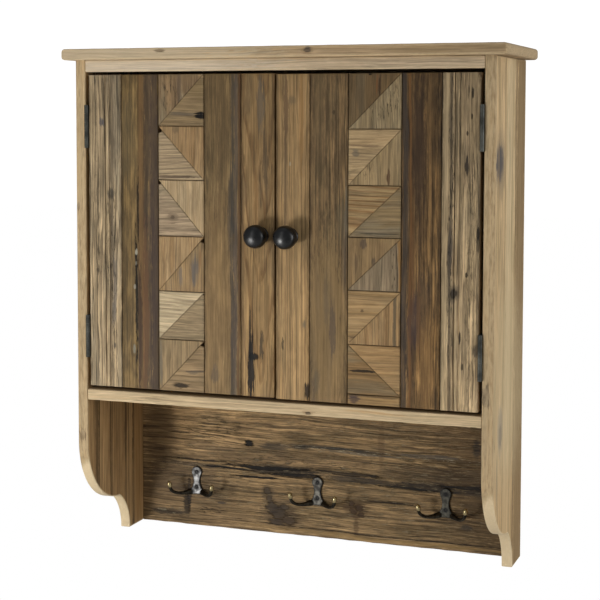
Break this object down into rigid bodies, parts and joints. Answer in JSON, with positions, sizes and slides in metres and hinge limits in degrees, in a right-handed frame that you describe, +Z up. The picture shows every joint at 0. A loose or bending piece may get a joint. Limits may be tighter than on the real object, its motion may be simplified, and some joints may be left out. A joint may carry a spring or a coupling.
{
  "type": "hanging wall cabinet",
  "caption": "Wall-hung cabinet of reclaimed wood: inset hinged doors with a mosaic of triangles over an open bay with coat hooks.",
  "frame": {"origin": "on the wall plane, midway between the centres of the round parts of the two hanging holes", "axes": "+X to the right seen from the front, +Y from the doors towards the wall, +Z up"},
  "size_m": [0.633, 0.218, 0.713],
  "materials": {
    "pale_wood": "raw sawn fir with a dry wax",
    "weathered_wood": "weathered reclaimed fir, matt",
    "dark_wood": "dark weathered reclaimed fir, matt",
    "mosaic_wood": "mixed reclaimed offcuts, matt",
    "plywood": "plain thin plywood",
    "black_knob": "satin black paint",
    "dark_steel": "burnished dark steel",
    "antique_metal": "antiqued casting, worn bright at the tips",
    "zinc_steel": "zinc plated",
    "catch_plastic": "brown moulded plastic",
    "magnet": "ferrite magnet between steel plates"
  },
  "bodies": {
    "carcass": {"top_board": "pale_wood", "top_rail": "pale_wood", "left_side": "pale_wood", "right_side": "pale_wood", "bottom_shelf": "pale_wood", "inner_shelf": "pale_wood", "shelf_pins": "zinc_steel", "back_panel": "plywood", "hanging_rail": "pale_wood", "hook_board": "dark_wood", "frame_dowels": "pale_wood", "hangers": "zinc_steel", "hanger_screws": "zinc_steel", "left_hook": "antique_metal", "middle_hook": "antique_metal", "right_hook": "antique_metal", "hook_screws": "antique_metal", "left_catch": "catch_plastic", "right_catch": "catch_plastic", "catch_magnets": "magnet", "catch_screws": "zinc_steel", "left_frame_leaves": "dark_steel", "right_frame_leaves": "dark_steel", "frame_leaf_screws": "dark_steel", "hinge_pins": "dark_steel"},
    "left_door": {"left_backing": "plywood", "left_outer_board": "weathered_wood", "left_dark_board": "dark_wood", "left_streaked_board": "dark_wood", "left_inner_board": "weathered_wood", "left_tile_1": "mosaic_wood", "left_tile_2": "mosaic_wood", "left_tile_3": "mosaic_wood", "left_tile_4": "mosaic_wood", "left_tile_5": "mosaic_wood", "left_tile_6": "mosaic_wood", "left_knob": "black_knob", "left_knob_screw": "zinc_steel", "left_door_leaves": "dark_steel", "left_leaf_screws": "dark_steel", "left_strike": "zinc_steel", "left_strike_screw": "zinc_steel"},
    "right_door": {"right_backing": "plywood", "right_outer_board": "weathered_wood", "right_dark_board": "dark_wood", "right_streaked_board": "dark_wood", "right_inner_board": "weathered_wood", "right_tile_1": "mosaic_wood", "right_tile_2": "mosaic_wood", "right_tile_3": "mosaic_wood", "right_tile_4": "mosaic_wood", "right_tile_5": "mosaic_wood", "right_tile_6": "mosaic_wood", "right_tile_7": "mosaic_wood", "right_knob": "black_knob", "right_knob_screw": "zinc_steel", "right_door_leaves": "dark_steel", "right_leaf_screws": "dark_steel", "right_strike": "zinc_steel", "right_strike_screw": "zinc_steel"}
  },
  "joints": [
    {"name": "left_door_swing", "type": "hinge", "parent": "carcass", "child": "left_door", "pos_m": [-0.2825, -0.188, -0.21025], "axis": [0, 0, -1], "range_deg": [0, 180]},
    {"name": "right_door_swing", "type": "hinge", "parent": "carcass", "child": "right_door", "pos_m": [0.2825, -0.188, -0.21025], "axis": [0, 0, 1], "range_deg": [0, 180]}
  ]
}
